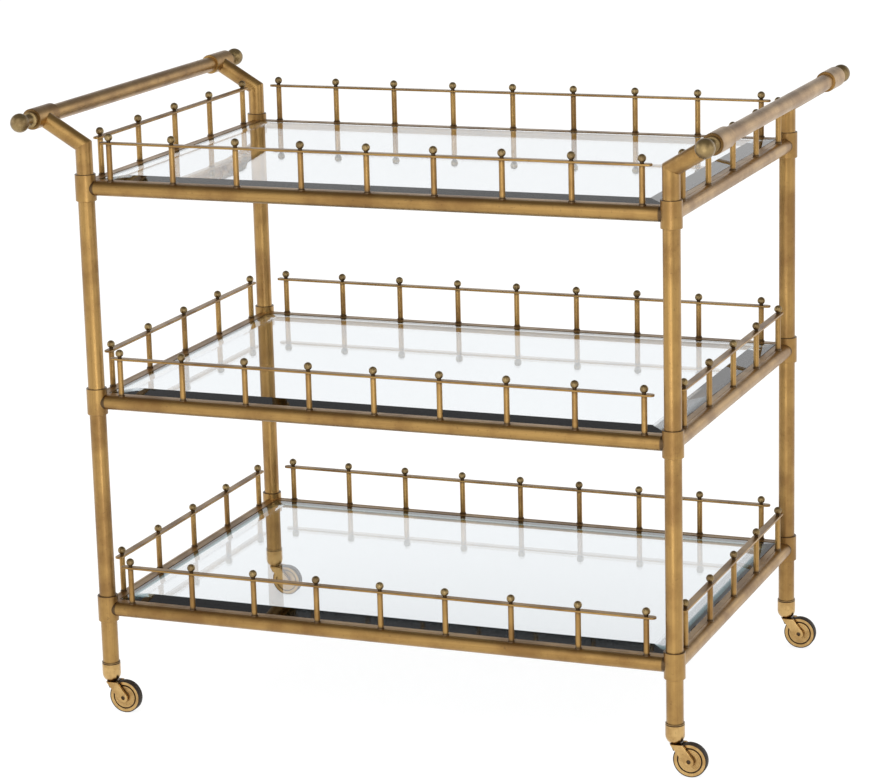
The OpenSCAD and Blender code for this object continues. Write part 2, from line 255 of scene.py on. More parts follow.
# %% The patina group
CLOUD_EDGE = (0.38, 0.66)
SPECK_EDGE = (0.6, 0.78)
STREAK_EDGE = (0.35, 0.7)
MOST_MARKED = 0.4
CLOUD_ROUGHNESS = 0.1


def make_patina():
    group = bpy.data.node_groups.new("patina", "ShaderNodeTree")
    add_sockets(group, "INPUT", (
        ("Place", "Vector"), ("Grain place", "Vector"), ("Bright", "Color"), ("Brown", "Color"),
        ("Dark", "Color"), ("Cloud scale", "Float"), ("Patina and painted shade", "Float"), ("Polish", "Float")))
    add_sockets(group, "OUTPUT", (("Colour", "Color"), ("Roughness", "Float"), ("Height", "Float")))
    link = group.links.new
    given = add_node(group, "NodeGroupInput")
    clouds = add_node(group, "ShaderNodeTexNoise", {"Detail": 5.0, "Roughness": 0.6})
    specks = add_node(group, "ShaderNodeTexNoise", {"Scale": 260.0, "Detail": 3.0})
    grain = add_node(group, "ShaderNodeTexNoise", {"Scale": 1.0, "Detail": 4.0, "Roughness": 0.65})
    link(given.outputs["Place"], clouds.inputs["Vector"])
    link(given.outputs["Place"], specks.inputs["Vector"])
    link(given.outputs["Cloud scale"], clouds.inputs["Scale"])
    link(given.outputs["Grain place"], grain.inputs["Vector"])
    cloudy = spread(group, clouds.outputs["Fac"], *CLOUD_EDGE)
    speckled = spread(group, specks.outputs["Fac"], *SPECK_EDGE, 0.0, MOST_MARKED)
    streaky = spread(group, grain.outputs["Fac"], *STREAK_EDGE, 0.0, MOST_MARKED)
    base = blend_colours(group, cloudy, given.outputs["Bright"], given.outputs["Brown"])
    streaked = blend_colours(group, streaky, base, given.outputs["Brown"])
    spotted = blend_colours(group, speckled, streaked, given.outputs["Dark"])
    # The vertex darkening pulls the colour towards Dark: patina and painted shade in grooves and
    # joints.
    patinated_and_shaded = blend_colours(group, given.outputs["Patina and painted shade"], spotted, given.outputs["Dark"])
    rough = number_node(group, "MULTIPLY_ADD", cloudy, CLOUD_ROUGHNESS, given.outputs["Polish"])
    result = add_node(group, "NodeGroupOutput")
    link(patinated_and_shaded, result.inputs["Colour"])
    link(rough, result.inputs["Roughness"])
    link(grain.outputs["Fac"], result.inputs["Height"])
    return group


patina = make_patina()
print("patina group with", len(patina.nodes), "nodes")

# %% Brass materials
TUBE_BRASS = ((0.42, 0.25, 0.075, 1), (0.27, 0.145, 0.04, 1), (0.08, 0.045, 0.018, 1))
CASTOR_BRASS = ((0.6, 0.39, 0.15, 1), (0.42, 0.25, 0.085, 1), (0.05, 0.026, 0.01, 1))
BALL_BRASS = ((0.34, 0.24, 0.1, 1), (0.2, 0.13, 0.052, 1), (0.05, 0.03, 0.012, 1))
# Very dark brass: painted shade for the recessed axle ends and the stem bushes.
PAINTED_SHADE_BRASS = ((0.1, 0.06, 0.028, 1), (0.06, 0.035, 0.016, 1), (0.02, 0.012, 0.006, 1))
LACQUER = 0.4
LACQUER_ROUGHNESS = 0.3
BUMP_DEPTH = 0.2 * MM


def brass(name, colours, grain, clouds=14.0, polish=0.38, bump_by=0.03):
    """Brass with its grain stretched by a Mapping node: a small scale runs along the tube."""
    material = bpy.data.materials.new(name)
    material.use_nodes = True
    tree = material.node_tree
    shader = tree.nodes["Principled BSDF"]
    place = add_node(tree, "ShaderNodeTexCoord").outputs["Object"]
    stretch = add_node(tree, "ShaderNodeMapping", {"Scale": grain})
    tree.links.new(place, stretch.inputs["Vector"])
    coat = add_node(tree, "ShaderNodeGroup", node_tree=patina)
    for socket, value in zip(("Bright", "Brown", "Dark"), colours):
        coat.inputs[socket].default_value = value
    coat.inputs["Cloud scale"].default_value = clouds
    coat.inputs["Polish"].default_value = polish
    # This vertex attribute darkens grooves and joints: patina and painted shade.
    patina_and_painted_shade = add_node(tree, "ShaderNodeAttribute", attribute_name="patina_and_painted_shade")
    tree.links.new(patina_and_painted_shade.outputs["Fac"], coat.inputs["Patina and painted shade"])
    tree.links.new(place, coat.inputs["Place"])
    tree.links.new(stretch.outputs["Vector"], coat.inputs["Grain place"])
    bump = add_node(tree, "ShaderNodeBump", {"Strength": bump_by, "Distance": BUMP_DEPTH})
    tree.links.new(coat.outputs["Height"], bump.inputs["Height"])
    tree.links.new(coat.outputs["Colour"], shader.inputs["Base Color"])
    tree.links.new(coat.outputs["Roughness"], shader.inputs["Roughness"])
    tree.links.new(bump.outputs["Normal"], shader.inputs["Normal"])
    shader.inputs["Metallic"].default_value = 1.0
    shader.inputs["Coat Weight"].default_value = LACQUER
    shader.inputs["Coat Roughness"].default_value = LACQUER_ROUGHNESS
    return material


brass_upright = brass("aged brass, upright grain", TUBE_BRASS, (700, 700, 9))
brass_long = brass("aged brass, grain along", TUBE_BRASS, (9, 700, 700))
brass_cross = brass("aged brass, grain across", TUBE_BRASS, (700, 9, 700))
brass_turned = brass("aged brass, turned", TUBE_BRASS, (500, 500, 500), 24.0, 0.4, 0.01)
brass_ball = brass("dull brass, turned", BALL_BRASS, (500, 500, 500), 40.0, 0.42, 0.01)
brass_castor = brass("bright brass", CASTOR_BRASS, (400, 400, 60), 60.0, 0.28, 0.01)
brass_painted_shade = brass("brass darkened as painted shade", PAINTED_SHADE_BRASS, (400, 400, 400), 60.0, 0.45, 0.01)
print("brass finishes:", [m.name for m in bpy.data.materials if "brass" in m.name])

# %% [markdown]
# ## Glass
# The shelves are clear float glass with a wide bevel. Light that enters near the rim runs a
# long way through the green body of the glass, so the rim looks black-green, then teal, then
# clear. Tracing such paths is slow, so this light and shade are painted into the glass's
# colour by distance from the rim: a filter on what lies behind, with a darker painted rim on
# the bottom shelf than on the two above. Shadow rays pass almost straight through, so the
# shelves hardly darken what is below.

# %% Glass material
BEVEL_W = 30 * MM
BEVEL_DEPTH = 3 * MM
GLASS_IOR = 1.5
CLEAR = (0.81, 0.845, 0.87)
SHADOW_TINT = (0.93, 0.95, 0.95, 1)
RIM_REACH = 50 * MM
END_SLOPE = 2
END_START = 2 * MM
PAINTED_DIM_RIM = ((0.0, (0.002, 0.006, 0.004)), (0.28, (0.002, 0.006, 0.004)),
           (0.36, (0.1, 0.17, 0.18)), (0.58, (0.2, 0.29, 0.31)), (0.66, CLEAR))
PAINTED_LIT_RIM = ((0.0, (0.01, 0.012, 0.01)), (0.12, (0.03, 0.04, 0.04)), (0.28, (0.22, 0.27, 0.29)),
           (0.46, (0.6, 0.68, 0.72)), (0.66, CLEAR))


def rim_distance(tree, half_x, half_y):
    """How far in from the rim a point lies; the ends count double, and start 2 mm in."""
    place = add_node(tree, "ShaderNodeTexCoord").outputs["Object"]
    apart = add_node(tree, "ShaderNodeSeparateXYZ")
    tree.links.new(place, apart.inputs[0])
    gaps = []
    for axis, edge, slope in (("X", END_SLOPE * half_x + END_START, END_SLOPE), ("Y", half_y, 1)):
        size = number_node(tree, "ABSOLUTE", apart.outputs[axis])
        gaps.append(number_node(tree, "MULTIPLY_ADD", size, -slope, edge))
    return number_node(tree, "MINIMUM", *gaps)


def make_glass(level, painted_rim_light):
    material = bpy.data.materials.new("%s shelf glass" % level)
    material.use_nodes = True
    tree = material.node_tree
    link = tree.links.new
    shader = tree.nodes["Principled BSDF"]
    shader.inputs["Transmission Weight"].default_value = 1.0
    shader.inputs["Roughness"].default_value = 0.0
    shader.inputs["IOR"].default_value = GLASS_IOR
    glass_high = high("glass_" + level)
    inward = rim_distance(tree, glass_high.x, glass_high.y)
    # The ramp paints the rim's shade and the teal light that runs through the glass into its
    # colour.
    ramp = add_node(tree, "ShaderNodeValToRGB")
    stops = ramp.color_ramp.elements
    for index, (position, colour) in enumerate(painted_rim_light):
        stop = stops[index] if index < 2 else stops.new(position)
        stop.position = position
        stop.color = (*colour, 1)
    link(number_node(tree, "DIVIDE", inward, RIM_REACH), ramp.inputs["Fac"])
    link(ramp.outputs["Color"], shader.inputs["Base Color"])
    open_air = add_node(tree, "ShaderNodeBsdfTransparent", {"Color": SHADOW_TINT})
    path = add_node(tree, "ShaderNodeLightPath")
    mixed = add_node(tree, "ShaderNodeMixShader")
    link(path.outputs["Is Shadow Ray"], mixed.inputs[0])
    link(shader.outputs[0], mixed.inputs[1])
    link(open_air.outputs[0], mixed.inputs[2])
    link(mixed.outputs[0], tree.nodes["Material Output"].inputs["Surface"])
    return material


# The bottom shelf gets the darker painted rim, the two above the lighter one.
shelf_glass = {"bottom": make_glass("bottom", PAINTED_DIM_RIM), "middle": make_glass("middle", PAINTED_LIT_RIM),
               "top": make_glass("top", PAINTED_LIT_RIM)}
print("glass bevel", BEVEL_W / MM, "mm wide,", BEVEL_DEPTH / MM, "mm deep")

# %% [markdown]
# ## Rubber
# The tyres are thin dark rings, a little dusty from the floor. The cushion under the glass
# has the same finish.

# %% Rubber material
RUBBER = (0.022, 0.015, 0.01, 1)
DUSTY_RUBBER = (0.055, 0.038, 0.026, 1)
rubber = bpy.data.materials.new("tyre rubber")
rubber.use_nodes = True
rubber_tree = rubber.node_tree
rubber_shader = rubber_tree.nodes["Principled BSDF"]
rubber_place = add_node(rubber_tree, "ShaderNodeTexCoord").outputs["Object"]
dust = add_node(rubber_tree, "ShaderNodeTexNoise", {"Scale": 320.0, "Detail": 4.0})
rubber_tree.links.new(rubber_place, dust.inputs["Vector"])
dusty = spread(rubber_tree, dust.outputs["Fac"], 0.4, 0.75)
rubber_tree.links.new(
    blend_colours(rubber_tree, dusty, RUBBER, DUSTY_RUBBER), rubber_shader.inputs["Base Color"])
rubber_tree.links.new(spread(rubber_tree, dust.outputs["Fac"], 0.3, 0.7, 0.45, 0.7),
                      rubber_shader.inputs["Roughness"])
rubber_shader.inputs["Specular IOR Level"].default_value = 0.25

# %% [markdown]
# ## Posts and arms
# Each corner is one tube that runs up through its collars and meets the arm in a mitre. A
# bent curve would round the corner, but here it is a sharp welded joint, so both tubes are
# cut by the same slanting plane. Each ring of points is slid along the tube to that plane.

# %% Mitred tubes
ARM_RISE = math.radians(31)
MITRE = (math.pi / 2 - ARM_RISE) / 2
WELD = 0.7 * MM
elbow_z = high("post_front_right").z - post_r * math.tan(MITRE)


def ring_on_plane(bm, line_at, line_dir, radius, plane_at, plane_n):
    """A ring of points round a line, each slid along the line onto a plane."""
    turned_to = line_dir.to_track_quat("Z", "Y").to_matrix()
    ring = []
    for i in range(STEPS):
        angle = 2 * math.pi * i / STEPS
        spoke = Vector((radius * math.cos(angle), radius * math.sin(angle), 0))
        start = line_at + turned_to @ spoke
        slide = (plane_at - start).dot(plane_n) / line_dir.dot(plane_n)
        ring.append(bm.verts.new(start + line_dir * slide))
    return ring


def bridge(bm, rings):
    """Joins rings of points into a tube and closes both ends."""
    for lower, upper in zip(rings, rings[1:]):
        for i in range(len(lower)):
            bm.faces.new((lower[i - 1], lower[i], upper[i], upper[i - 1]))
    bm.faces.new(rings[0][::-1])
    bm.faces.new(rings[-1])


def make_post(end):
    side_x, side_y = ENDS[end]
    elbow = Vector((side_x * post_x, side_y * post_y, elbow_z))
    foot = Vector((elbow.x, elbow.y, low("post_" + end).z))
    up = Vector((0, 0, 1))
    mitre_n = Vector((side_x * math.sin(MITRE), 0, math.cos(MITRE)))
    bm = bmesh.new()
    rings = [ring_on_plane(bm, foot, up, post_r, foot, up),
             ring_on_plane(bm, foot, up, post_r, elbow - mitre_n * WELD, mitre_n),
             ring_on_plane(bm, foot, up, post_r - WELD / 2, elbow, mitre_n)]
    bridge(bm, rings)
    post = to_object("post_%s_tube" % end, bm)
    return settle(post, brass_upright, "frame", ["post_" + end])


def make_arm(end):
    side_x, side_y = ENDS[end]
    elbow = Vector((side_x * post_x, side_y * post_y, elbow_z))
    out = Vector((side_x * math.cos(ARM_RISE), 0, math.sin(ARM_RISE)))
    mitre_n = Vector((side_x * math.sin(MITRE), 0, math.cos(MITRE)))
    reach = (handle_x - post_x) / math.cos(ARM_RISE)
    tip = elbow + out * reach
    bm = bmesh.new()
    rings = [ring_on_plane(bm, elbow, out, post_r - WELD / 2, elbow, mitre_n),
             ring_on_plane(bm, elbow, out, post_r, elbow + mitre_n * WELD, mitre_n),
             ring_on_plane(bm, elbow, out, post_r, tip, out)]
    bridge(bm, rings)
    arm = to_object("arm_%s_tube" % end, bm)
    return settle(arm, brass_turned, "frame", ["arm_" + end])


for end in ENDS:
    make_post(end)
    make_arm(end)
print("elbows at", round(elbow_z, 4))

# %% [markdown]
# ## Collars and rails
# The collars are short sleeves with a small chamfer at each end, which catches the light.
# The rails run into them, so their ends need no fitting: they stop inside the sleeve.

# %% Collars
COLLAR_CHAMFER = 0.45 * MM


def make_collars(level):
    node = "collars_" + level
    bm = bmesh.new()
    for side_x, side_y in ENDS.values():
        # The collar's upper rim, where the post enters, is darkened: patina and painted shade.
        profile = sleeve(collar_r, post_r, low(node).z, high(node).z, COLLAR_CHAMFER, 0.8)
        turn(bm, profile, (side_x * post_x, side_y * post_y, 0), looped=True)
    return settle(to_object(node + "_turned", bm), brass_upright, "frame", [node])


for level in LEVELS:
    make_collars(level)

# %% Rails
RAIL_IN = 3.5 * MM
SEAM_UNSHADED = 2.2 * MM
SEAM_DARK = 0.3 * MM


def tube_with_painted_shade(radius, reach, seam):
    """The profile of a bar from -reach to reach, darkened with patina and painted shade where it
    enters a collar at the seam.
    """
    unshaded, dark = seam - SEAM_UNSHADED, seam - SEAM_DARK
    return [(0, -reach, 1), (radius, -reach, 1), (radius, -dark, 0.9), (radius, -unshaded),
            (radius, unshaded), (radius, dark, 0.9), (radius, reach, 1), (0, reach, 1)]


def make_rails(level, run):
    node = "%s_rails_%s" % (run, level)
    bm = bmesh.new()
    for side in (-1, 1):
        if run == "long":
            span, at, axis = post_x, (0, side * post_y, rail_z[level]), (1, 0, 0)
        else:
            span, at, axis = post_y, (side * post_x, 0, rail_z[level]), (0, 1, 0)
        reach = span - (post_r - RAIL_IN)
        # Each rail darkens towards its ends at the collars: patina and painted shade.
        turn(bm, tube_with_painted_shade(rail_r, reach, span - collar_r), at, axis)
    finish = brass_long if run == "long" else brass_cross
    return settle(to_object(node + "_tubes", bm), finish, "frame", [node])


for level in LEVELS:
    make_rails(level, "long")
    make_rails(level, "short")
print("collars and rails at", [round(z, 3) for z in rail_z.values()])

# %% [markdown]
# ## Ledge and glass
# A brass ledge is let into the inside of the rails, its top level with theirs. The glass
# lies on its foot, on a thin dark cushion that shows through the rim. All of these are drawn
# as closed rectangles of points, one after another: a sweep with true mitres.

# %% Rectangles of points
FOOT_REACH = 5 * MM
FOOT_T = 2 * MM
GLASS_GAP = 1 * MM
CUSHION_T = 0.3 * MM
LEDGE_SOFT = 0.25 * MM


def rectangle(bm, half_x, half_y, z):
    corners = ((-1, -1), (1, -1), (1, 1), (-1, 1))
    return [bm.verts.new((sx * half_x, sy * half_y, z)) for sx, sy in corners]


def loft(bm, loops, closed):
    """Walls between rectangles of points, in a ring or with both ends filled."""
    pairs = list(zip(loops, loops[1:] + loops[:1])) if closed else list(zip(loops, loops[1:]))
    for lower, upper in pairs:
        for i in range(4):
            bm.faces.new((lower[i - 1], lower[i], upper[i], upper[i - 1]))
    if not closed:
        bm.faces.new(loops[0][::-1])
        bm.faces.new(loops[-1])


def soften(piece, width):
    """Rounds the edges a little, so that they catch the light."""
    bevel = piece.modifiers.new("soft edges", "BEVEL")
    bevel.width = width
    bevel.segments = 2
    bevel.limit_method = "ANGLE"
    return piece


def sweep(name, outline):
    """A frame from its section: (half length, half width, height) at every corner."""
    bm = bmesh.new()
    loft(bm, [rectangle(bm, *corner) for corner in outline], closed=True)
    return to_object(name, bm)


def make_ledge(level):
    node = "ledge_" + level
    bottom, top = low(node).z, high(node).z
    out_x, out_y = high(node).x, high(node).y
    in_x, in_y = (size + GLASS_GAP for size in high("glass_" + level).xy)
    foot = bottom + FOOT_T
    ledge = soften(sweep(node + "_bars", (
        (out_x, out_y, bottom), (out_x, out_y, top), (in_x, in_y, top),
        (in_x, in_y, foot - CUSHION_T),
        (in_x - FOOT_REACH, in_y - FOOT_REACH, foot - CUSHION_T),
        (in_x - FOOT_REACH, in_y - FOOT_REACH, bottom))), LEDGE_SOFT)
    cushion = sweep(node + "_cushion", (
        (in_x, in_y, foot - CUSHION_T), (in_x, in_y, foot),
        (in_x - FOOT_REACH, in_y - FOOT_REACH, foot),
        (in_x - FOOT_REACH, in_y - FOOT_REACH, foot - CUSHION_T)))
    settle(cushion, rubber, "frame", [node])
    return settle(ledge, brass_long, "frame", [node])


# %% Beveled glass
ARRIS = 0.6 * MM


def make_glass_shelf(level):
    node = "glass_" + level
    bottom, top = low(node).z, high(node).z
    half_x, half_y = high(node).x, high(node).y
    shoulder = top - BEVEL_DEPTH
    section = ((ARRIS, bottom), (0, bottom + ARRIS), (0, shoulder - ARRIS),
               (ARRIS, shoulder + ARRIS / 10), (BEVEL_W, top))
    bm = bmesh.new()
    loops = [rectangle(bm, half_x - inward, half_y - inward, z) for inward, z in section]
    loft(bm, loops, closed=False)
    shelf = to_object(node + "_beveled", bm)
    shelf.data.shade_flat()
    return settle(shelf, shelf_glass[level], "frame", [node])


for level in LEVELS:
    make_ledge(level)
    make_glass_shelf(level)
print("glass", [round(v / MM) for v in high("glass_top") - low("glass_top")], "mm")

# %% [markdown]
# ## Gallery
# Round each shelf stand small posts, nine along and five across, under a flat strip, with a
# ball on each. They repeat by a rule, so Geometry Nodes place them: two lines of points for
# each direction, one turned piece on every point, then made real and given their brass.

# %% Geometry Nodes that stand a piece round the gallery
strip_box = {level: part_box("gallery_strips_" + level) for level in LEVELS}
STRIP_OVER = 15 * MM
END_GAP_X = 41.5 * MM
END_GAP_Y = 52.5 * MM
long_run = 2 * (post_x - END_GAP_X)
short_run = 2 * (post_y - END_GAP_Y)
GAPS_LONG = 8
GAPS_SHORT = 4


def make_gallery_tree():
    tree = bpy.data.node_groups.new("round the gallery", "GeometryNodeTree")
    add_sockets(tree, "INPUT", (
        ("Geometry", "Geometry"), ("Piece", "Object"), ("Brass", "Material"),
        ("Long run", "Float"), ("Short run", "Float"), ("Gaps long", "Int"),
        ("Gaps short", "Int"), ("Post x", "Float"), ("Post y", "Float"), ("Level", "Float")))
    add_sockets(tree, "OUTPUT", (("Geometry", "Geometry"),))
    link = tree.links.new
    given = add_node(tree, "NodeGroupInput")

    def corner(x, y):
        node = add_node(tree, "ShaderNodeCombineXYZ")
        for index, value in enumerate((x, y, given.outputs["Level"])):
            link(value, node.inputs[index])
        return node.outputs[0]

    lines = add_node(tree, "GeometryNodeJoinGeometry")
    for run, gaps, along_x in (("Long run", "Gaps long", True), ("Short run", "Gaps short", False)):
        count = number_node(tree, "ADD", given.outputs[gaps], 1)
        for side in (-1, 1):
            first = number_node(tree, "MULTIPLY", given.outputs[run], -0.5)
            last = number_node(tree, "MULTIPLY", given.outputs[run], 0.5)
            across = number_node(tree, "MULTIPLY",
                                 given.outputs["Post y" if along_x else "Post x"], side)
            line = add_node(tree, "GeometryNodeMeshLine", mode="END_POINTS")
            link(count, line.inputs["Count"])
            link(corner(first, across) if along_x else corner(across, first),
                 line.inputs["Start Location"])
            link(corner(last, across) if along_x else corner(across, last),
                 line.inputs["Offset"])
            link(line.outputs["Mesh"], lines.inputs[0])
    stand = add_node(tree, "GeometryNodeInstanceOnPoints")
    piece = add_node(tree, "GeometryNodeObjectInfo")
    real = add_node(tree, "GeometryNodeRealizeInstances")
    coat = add_node(tree, "GeometryNodeSetMaterial")
    result = add_node(tree, "NodeGroupOutput")
    link(lines.outputs[0], stand.inputs["Points"])
    link(given.outputs["Piece"], piece.inputs["Object"])
    link(piece.outputs["Geometry"], stand.inputs["Instance"])
    link(stand.outputs["Instances"], real.inputs[0])
    link(real.outputs[0], coat.inputs["Geometry"])
    link(given.outputs["Brass"], coat.inputs["Material"])
    link(coat.outputs[0], result.inputs[0])
    return tree


gallery_tree = make_gallery_tree()


def stand_round(name, piece, level_z, material):
    """Runs the gallery tree once and returns its plain mesh as an object."""
    holder = bpy.data.objects.new(name + "_holder", bpy.data.meshes.new(name + "_holder"))
    bpy.context.scene.collection.objects.link(holder)
    modifier = holder.modifiers.new("gallery", "NODES")
    modifier.node_group = gallery_tree
    values = {"Piece": piece, "Brass": material, "Long run": long_run, "Short run": short_run,
              "Gaps long": GAPS_LONG, "Gaps short": GAPS_SHORT, "Post x": post_x,
              "Post y": post_y, "Level": level_z}
    for item in gallery_tree.interface.items_tree:
        if item.in_out == "INPUT" and item.name in values:
            modifier[item.identifier] = values[item.name]
    evaluated = holder.evaluated_get(bpy.context.evaluated_depsgraph_get())
    mesh = bpy.data.meshes.new_from_object(evaluated)
    bpy.data.objects.remove(holder)
    placed = bpy.data.objects.new(name, mesh)
    bpy.context.scene.collection.objects.link(placed)
    return placed


# %% One gallery post and one ball, turned
BALUSTER_R = 4.25 * MM
FOOT_RING_R = 5.25 * MM
FOOT_RING_H = 1.5 * MM
NECK_R = 3.0 * MM
NECK_H = 1.0 * MM
BALUSTER_STEPS = 20
BALUSTER_SINK = 1.5 * MM
RING_CHAMFER = 0.4 * MM
BALL_SINK = 0.3 * MM
PAINTED_SHADE_TO = 0.6
strip_low = strip_box["top"][0].z - rail_z["top"]
strip_high = strip_box["top"][1].z - rail_z["top"]
ball_r = high("gallery_balls_top").x - post_x

baluster_bm = bmesh.new()
crown = rail_r - BALUSTER_SINK
ring_top = rail_r + FOOT_RING_H
# The foot ring and the top under the strip are darkened: patina and painted shade.
turn(baluster_bm, [
    (0, crown), (FOOT_RING_R, crown, 1), (FOOT_RING_R, ring_top - RING_CHAMFER, 0.8),
    (FOOT_RING_R - RING_CHAMFER, ring_top, 0.9), (BALUSTER_R, ring_top + 0.3 * MM, 0.9),
    (BALUSTER_R, ring_top + 3 * MM, 0.2), (BALUSTER_R, ring_top + 5 * MM),
    (BALUSTER_R, strip_low - 4 * MM), (BALUSTER_R, strip_low, 0.7), (0, strip_low)],
    (0, 0, 0), steps=BALUSTER_STEPS)
baluster = to_object("baluster_pattern", baluster_bm)

ball_bm = bmesh.new()
ball_z = NECK_H + ball_r
# The ball's neck and underside are darkened: painted shade and patina.
arc = [(ball_r * math.sin(a), ball_z - ball_r * math.cos(a), 0.9 if a < PAINTED_SHADE_TO else 0.0)
       for a in [math.radians(30 + i * 15) for i in range(11)]]
turn(ball_bm, [(0, -BALL_SINK), (NECK_R, -BALL_SINK, 1), *arc], (0, 0, 0), steps=BALUSTER_STEPS)
ball = to_object("ball_pattern", ball_bm)

for level in LEVELS:
    posts = stand_round("balusters_%s_turned" % level, baluster, rail_z[level], brass_upright)
    settle(posts, brass_upright, "frame", ["balusters_" + level])
    balls = stand_round("gallery_balls_%s_turned" % level, ball,
                        rail_z[level] + strip_high, brass_ball)
    settle(balls, brass_ball, "frame", ["gallery_balls_" + level])
for pattern in (baluster, ball):
    bpy.data.objects.remove(pattern)
print("gallery pieces round each shelf:", 2 * (GAPS_LONG + GAPS_SHORT + 2))

# %% Gallery strips
STRIP_SOFT = 0.6 * MM
ROUND_END_STEPS = 12


def strip_outline(half, radius):
    """A flat bar's outline along X, with a half circle at each end."""
    middle = half - radius
    points = []
    for side in (1, -1):
        for i in range(ROUND_END_STEPS + 1):
            angle = side * math.pi / 2 - math.pi * i / ROUND_END_STEPS
            points.append((side * middle + radius * math.cos(angle), radius * math.sin(angle)))
    return points


def make_strips(level):
    node = "gallery_strips_" + level
    base, top = strip_box[level][0].z, strip_box[level][1].z
    radius = strip_box[level][1].y - post_y
    bm = bmesh.new()
    for run, along_x in ((long_run, True), (short_run, False)):
        for side in (-1, 1):
            lower, upper = [], []
            for x, y in strip_outline(run / 2 + STRIP_OVER, radius):
                spot = (x, y + side * post_y) if along_x else (-y + side * post_x, x)
                lower.append(bm.verts.new((*spot, base)))
                upper.append(bm.verts.new((*spot, top)))
            bridge(bm, [lower, upper])
    strips = soften(to_object(node + "_bars", bm), STRIP_SOFT)
    return settle(strips, brass_long, "frame", [node])


for level in LEVELS:
    make_strips(level)
print("strips", round((strip_high - strip_low) / MM, 2), "mm thick")

# %% [markdown]
# ## Handles
# A grip runs between two sockets at each end of the trolley. Beyond each socket sits a
# turned finial: a flange, a hollowed neck and a ball.

# %% Handles
SOCKET_LEN = 60 * MM
FLANGE = (11.5 * MM, 6 * MM)
FINIAL_NECK_R = 7.5 * MM
FINIAL_R = 14 * MM
BALL_OUT = 34.5 * MM
SOCKET_CHAMFER = 0.6 * MM
SOCKET_PRESS = 0.2 * MM
GRIP_CHAMFER = 0.5 * MM
PLUG_LEN = 3 * MM
FLANGE_CHAMFER = 0.6 * MM
COVE_STEP = 18
FINIAL_STEPS = 18
grip_r = (high("grip_right").x - low("grip_right").x) / 2
socket_r = (high("sockets_right").x - low("sockets_right").x) / 2
socket_end = high("sockets_right").y


def finial_profile():
    """From the socket's face outwards: flange, cove, neck and ball."""
    flange_r, flange_t = FLANGE
    cove = flange_r - FINIAL_NECK_R
    points = [(0, -PLUG_LEN), (flange_r, -PLUG_LEN), (flange_r, flange_t - FLANGE_CHAMFER),
              (flange_r - FLANGE_CHAMFER, flange_t)]
    for degrees in range(COVE_STEP, 91, COVE_STEP):
        angle = math.radians(degrees)
        points.append((flange_r - cove * math.sin(angle), flange_t + cove * (1 - math.cos(angle))))
    start = math.asin(FINIAL_NECK_R / FINIAL_R)
    for i in range(FINIAL_STEPS + 1):
        angle = start + (math.pi - start) * i / FINIAL_STEPS
        points.append((FINIAL_R * math.sin(angle), BALL_OUT - FINIAL_R * math.cos(angle)))
    points[-1] = (0, BALL_OUT + FINIAL_R)
    return points


for side_name, side in (("left", -1), ("right", 1)):
    centre = (side * handle_x, 0, handle_z)
    grip_bm, socket_bm, finial_bm = bmesh.new(), bmesh.new(), bmesh.new()
    grip_end = high("grip_" + side_name).y
    turn(grip_bm, chamfered(grip_r, -grip_end, grip_end, GRIP_CHAMFER), centre, (0, 1, 0))
    for end in (-1, 1):
        # The socket's outer rim, against the finial, is darkened: patina and painted shade.
        profile = sleeve(socket_r, grip_r - SOCKET_PRESS, socket_end - SOCKET_LEN, socket_end,
                         SOCKET_CHAMFER, 0.5)
        turn(socket_bm, profile, centre, (0, end, 0), looped=True)
        face = (centre[0], end * socket_end, handle_z)
        turn(finial_bm, finial_profile(), face, (0, end, 0))
    for bm, word, node, finish in ((grip_bm, "tube", "grip_", brass_cross),
                                   (socket_bm, "turned", "sockets_", brass_turned),
                                   (finial_bm, "turned", "finials_", brass_ball)):
        piece = to_object("%s%s_%s" % (node, side_name, word), bm)
        settle(piece, finish, "frame", [node + side_name])
print("handles at", round(handle_x, 3), round(handle_z, 3))

# %% [markdown]
# ## Castors
# A cup is fixed to each leg. Under it a cranked fork turns freely, and the wheel runs
# between its cheeks. Cup, wheel and tyre are turned. The cheeks are flat plates with a
# round end, so a filled curve with a little depth and a rounded edge makes them.

# %% Cups
cup_low, cup_top = low("castor_cups").z, high("castor_cups").z
cup_r = high("castor_cups").x - post_x
NOSE_R = 8 * MM
RIM_H = 1.8 * MM
GROOVE_H = 1.0 * MM
GROOVE_DEPTH = 0.8 * MM
CUP_CHAMFER = 0.4 * MM
CUP_STEPS = 8
cup_bore_r = post_r * 0.45


def cup_profile():
    """Up the outside of the cup from its flat nose, then in over the rim."""
    round_z = math.sqrt(cup_r ** 2 - NOSE_R ** 2)
    # The nose, the groove and the rim round the post are darkened: patina and painted shade.
    points = [(cup_bore_r, 0, 1), (NOSE_R - CUP_CHAMFER, 0, 1)]
    start = math.asin(NOSE_R / cup_r)
    for i in range(CUP_STEPS + 1):
        angle = start + (math.pi / 2 - start) * i / CUP_STEPS
        points.append((cup_r * math.sin(angle), round_z - cup_r * math.cos(angle)))
    height = cup_top - cup_low
    groove = height - RIM_H - GROOVE_H
    points += [(cup_r, groove - 0.3 * MM), (cup_r - GROOVE_DEPTH, groove, 1),
               (cup_r - GROOVE_DEPTH, groove + GROOVE_H, 1),
               (cup_r, groove + GROOVE_H + 0.2 * MM, 0.6), (cup_r, height - CUP_CHAMFER, 0.4),
               (cup_r - CUP_CHAMFER, height, 0.8), (post_r, height, 1), (cup_bore_r, height / 2)]
    return points


cup_bm = bmesh.new()
for side_x, side_y in ENDS.values():
    turn(cup_bm, cup_profile(), (side_x * post_x, side_y * post_y, cup_low), looped=True)
settle(to_object("castor_cups_turned", cup_bm), brass_castor, "frame", ["castor_cups"])

